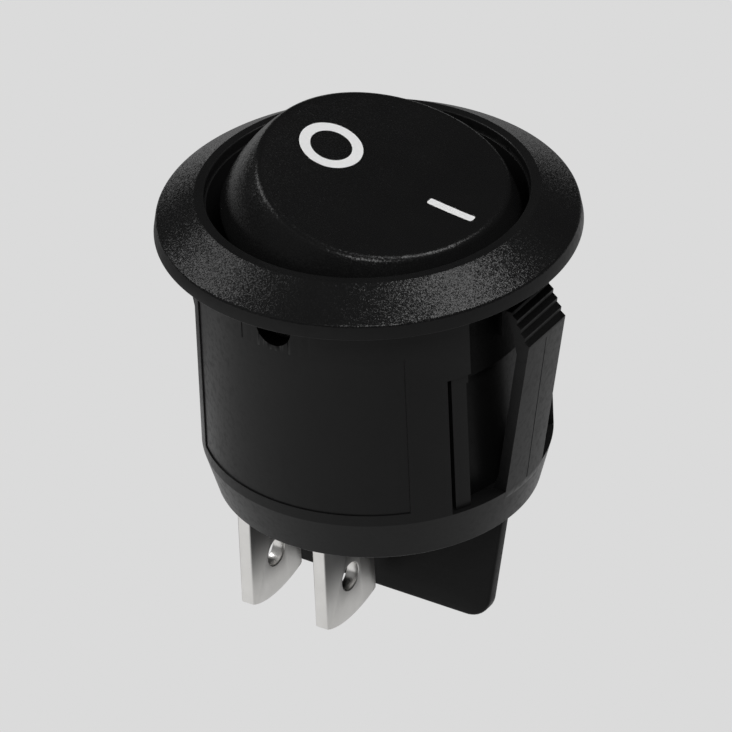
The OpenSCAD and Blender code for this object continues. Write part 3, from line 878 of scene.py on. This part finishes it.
# ---------------------------------------------------------------------------
# Blade terminals
# Stamped 0.8 mm brass strip, plated bright. Each blade is 4.8 mm wide with a
# rounded, thinned tip and a wire hole, and its tongue goes up through the floor.
# ---------------------------------------------------------------------------
blade_half = 2.4
blade_t = 0.8
blade_tip = -23.15
blade_end_r = 4.8
wire_hole_r = 0.8
wire_z = -20.4
tongue_half = 1.1
load_x = -4.8
pole_y = 3.8
pad_r = 1.1
pad_depth = 0.7


def plating_material():
    """Bright plated strip: rolled grain, small stains, and painted shade that darkens the wide
    faces towards the root.
    """
    material, tree = node_material("bright_plating")
    new, link = tree.nodes.new, tree.links.new
    out = new("ShaderNodeOutputMaterial")
    metal = new("ShaderNodeBsdfPrincipled")
    link(metal.outputs[0], out.inputs["Surface"])
    metal.inputs["Metallic"].default_value = 1
    place = new("ShaderNodeTexCoord")
    stretch = new("ShaderNodeMapping")
    stretch.inputs["Scale"].default_value = (1, 1, 0.08)
    link(place.outputs["Object"], stretch.inputs["Vector"])
    rolled = new("ShaderNodeTexNoise")
    rolled.inputs["Scale"].default_value = 9 / MM
    rolled.inputs["Detail"].default_value = 4
    link(stretch.outputs["Vector"], rolled.inputs["Vector"])
    stain = new("ShaderNodeTexNoise")
    stain.inputs["Scale"].default_value = 0.9 / MM
    stain.inputs["Detail"].default_value = 5
    link(place.outputs["Object"], stain.inputs["Vector"])
    colour = new("ShaderNodeMix")
    colour.data_type = "RGBA"
    colour.inputs["A"].default_value = (0.72, 0.71, 0.69, 1)
    colour.inputs["B"].default_value = (0.88, 0.87, 0.85, 1)
    link(stain.outputs["Fac"], colour.inputs["Factor"])
    # Painted shade: the wide faces darken towards their root under the housing, by height and by
    # how squarely they face sideways.
    height = new("ShaderNodeSeparateXYZ")
    link(place.outputs["Object"], height.inputs[0])
    root = new("ShaderNodeMapRange")
    root.interpolation_type = "SMOOTHSTEP"
    root.inputs["From Min"].default_value = -22.3 * MM
    root.inputs["From Max"].default_value = -18.3 * MM
    root.inputs["To Max"].default_value = 0.9
    link(height.outputs["Z"], root.inputs["Value"])
    lie = new("ShaderNodeNewGeometry")
    facing = new("ShaderNodeSeparateXYZ")
    link(lie.outputs["True Normal"], facing.inputs[0])
    across = new("ShaderNodeMath")
    across.operation = "ABSOLUTE"
    link(facing.outputs["X"], across.inputs[0])
    dull = new("ShaderNodeMath")
    dull.operation = "MULTIPLY"
    link(root.outputs["Result"], dull.inputs[0])
    link(across.outputs[0], dull.inputs[1])
    painted_root_shade = new("ShaderNodeMix")
    painted_root_shade.data_type = "RGBA"
    painted_root_shade.inputs["B"].default_value = (0.09, 0.09, 0.09, 1)
    link(dull.outputs[0], painted_root_shade.inputs["Factor"])
    link(colour.outputs["Result"], painted_root_shade.inputs["A"])
    link(painted_root_shade.outputs["Result"], metal.inputs["Base Color"])
    rough = new("ShaderNodeMapRange")
    rough.inputs["To Min"].default_value = -0.06
    rough.inputs["To Max"].default_value = 0.06
    link(rolled.outputs["Fac"], rough.inputs["Value"])
    wide = new("ShaderNodeMapRange")
    wide.inputs["To Min"].default_value = 0.3
    wide.inputs["To Max"].default_value = 0.52
    link(across.outputs[0], wide.inputs["Value"])
    total = new("ShaderNodeMath")
    total.operation = "ADD"
    link(rough.outputs["Result"], total.inputs[0])
    link(wide.outputs["Result"], total.inputs[1])
    link(total.outputs[0], metal.inputs["Roughness"])
    bump = new("ShaderNodeBump")
    bump.inputs["Strength"].default_value = 0.6
    bump.inputs["Distance"].default_value = 0.002 * MM
    link(rolled.outputs["Fac"], bump.inputs["Height"])
    link(bump.outputs["Normal"], metal.inputs["Normal"])
    return material


plating = plating_material()


def blade(name, x, y, top_z):
    """One blade standing at x, y with its tongue up to top_z."""
    reach = math.asin(blade_half / blade_end_r)
    outline = []
    for i in range(25):
        turn = -reach + 2 * reach * i / 24
        outline.append((blade_end_r * math.sin(turn),
                        blade_tip + blade_end_r - blade_end_r * math.cos(turn)))
    outline += [(blade_half, tail_z - 0.02), (tongue_half, tail_z - 0.02), (tongue_half, top_z),
                (-tongue_half, top_z), (-tongue_half, tail_z - 0.02), (-blade_half, tail_z - 0.02)]
    outline = [(y + u, v) for u, v in outline]
    strip = prism(name, outline, x - blade_t / 2, x + blade_t / 2, "yz", plating)
    hole = [(y + wire_hole_r * math.cos(math.pi * k / 32),
             wire_z + wire_hole_r * math.sin(math.pi * k / 32)) for k in range(64)]
    carve(strip, [prism("wire_hole", hole, x - 1, x + 1, "yz")])
    soften(strip, 0.07, 3)
    for vertex in strip.data.vertices:
        thin = max(0, 1 - (vertex.co.z / MM - blade_tip) / 0.6)
        vertex.co.x = x * MM + (vertex.co.x - x * MM) * (1 - 0.35 * thin)
    return strip


for pole, y in (("front", -pole_y), ("rear", pole_y)):
    common_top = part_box("common_terminal_" + pole)[1].z
    common = blade("common_blade_" + pole, 0, y, common_top / MM)
    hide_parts("common_terminal_" + pole)
    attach(common, "switch_body")
    load_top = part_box("load_terminal_" + pole)[1].z
    load = blade("load_blade_" + pole, load_x, y, load_top / MM - 0.3)
    pad_outline = rounded([(0.01, -pad_depth), (pad_r, -pad_depth), (pad_r, 0), (0.01, 0)],
                          [0, 0.06, 0.06, 0])
    pad = lathe("load_pad", pad_outline, 64, plating)
    pad.data.transform(Matrix.Translation((load_x * MM, y * MM, load_top)))
    load = join("load_blade_" + pole, [load, pad])
    smooth(load)
    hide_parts("load_terminal_" + pole)
    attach(load, "switch_body")

# ---------------------------------------------------------------------------
# Contact gear inside
# Silver alloy buttons riveted to copper alloy arms, and pale nylon plungers
# that press on the arms, all shut in between rocker and base.
# ---------------------------------------------------------------------------


def inner_material(name, dark, light, metallic, roughness):
    """A plain inner finish with slight blotches."""
    material, tree = node_material(name)
    new, link = tree.nodes.new, tree.links.new
    out = new("ShaderNodeOutputMaterial")
    body = new("ShaderNodeBsdfPrincipled")
    link(body.outputs[0], out.inputs["Surface"])
    body.inputs["Metallic"].default_value = metallic
    place = new("ShaderNodeTexCoord")
    blotch = new("ShaderNodeTexNoise")
    blotch.inputs["Scale"].default_value = 2 / MM
    blotch.inputs["Detail"].default_value = 4
    link(place.outputs["Object"], blotch.inputs["Vector"])
    colour = new("ShaderNodeMix")
    colour.data_type = "RGBA"
    colour.inputs["A"].default_value = (*dark, 1)
    colour.inputs["B"].default_value = (*light, 1)
    link(blotch.outputs["Fac"], colour.inputs["Factor"])
    link(colour.outputs["Result"], body.inputs["Base Color"])
    rough = new("ShaderNodeMapRange")
    rough.inputs["To Min"].default_value = roughness - 0.08
    rough.inputs["To Max"].default_value = roughness + 0.08
    link(blotch.outputs["Fac"], rough.inputs["Value"])
    link(rough.outputs["Result"], body.inputs["Roughness"])
    return material


silver = (0.68, 0.67, 0.64), (0.84, 0.83, 0.80), 1, 0.3
finishes = {
    "contact_arm": inner_material("copper_strip", (0.62, 0.33, 0.20), (0.76, 0.44, 0.29), 1, 0.35),
    "moving_contact": inner_material("silver_button", *silver),
    "fixed_contact": inner_material("silver_button_fixed", *silver),
    "plunger": inner_material("pale_nylon", (0.62, 0.58, 0.48), (0.70, 0.66, 0.56), 0, 0.45),
}
for stem, finish in finishes.items():
    for pole in ("front", "rear"):
        node = frame["nodes"][f"{stem}_{pole}"]
        node.data.materials.clear()
        node.data.materials.append(finish)

# ---------------------------------------------------------------------------
# Plunger springs
# Steel wire coils with closed end turns, one behind each plunger in its guide.
# They ride with the rocker.
# ---------------------------------------------------------------------------
spring_wire_r = 0.12
coil_r = 0.98
coil_turns = 6
coil_foot = -3.18
coil_top = -0.82
wire_steps = 24
wire_sides = 12
spring_wire = inner_material("spring_wire", (0.42, 0.42, 0.43), (0.58, 0.58, 0.58), 1, 0.3)
working_turns = coil_turns - 2
working_length = coil_top - coil_foot - 6 * spring_wire_r
for pole, y in (("front", -pole_y), ("rear", pole_y)):
    rings = []
    for i in range(coil_turns * wire_steps + 1):
        turn = i / wire_steps
        closed = min(turn, 1) + max(turn - coil_turns + 1, 0)
        working = min(max(turn - 1, 0), working_turns) / working_turns
        height = coil_foot + spring_wire_r * (1 + 2 * closed) + working_length * working
        ring = []
        for j in range(wire_sides):
            around = 2 * math.pi * j / wire_sides
            reach = coil_r + spring_wire_r * math.cos(around)
            ring.append((
                reach * math.cos(2 * math.pi * turn) * MM,
                (y + reach * math.sin(2 * math.pi * turn)) * MM,
                (height + spring_wire_r * math.sin(around)) * MM,
            ))
        rings.append(ring)
    spring = skin("spring_coil_" + pole, rings, spring_wire)
    spring.data.transform(rocker_place)
    smooth(spring)
    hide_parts("plunger_spring_" + pole)
    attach(spring, "rocker_body")
    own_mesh(spring)
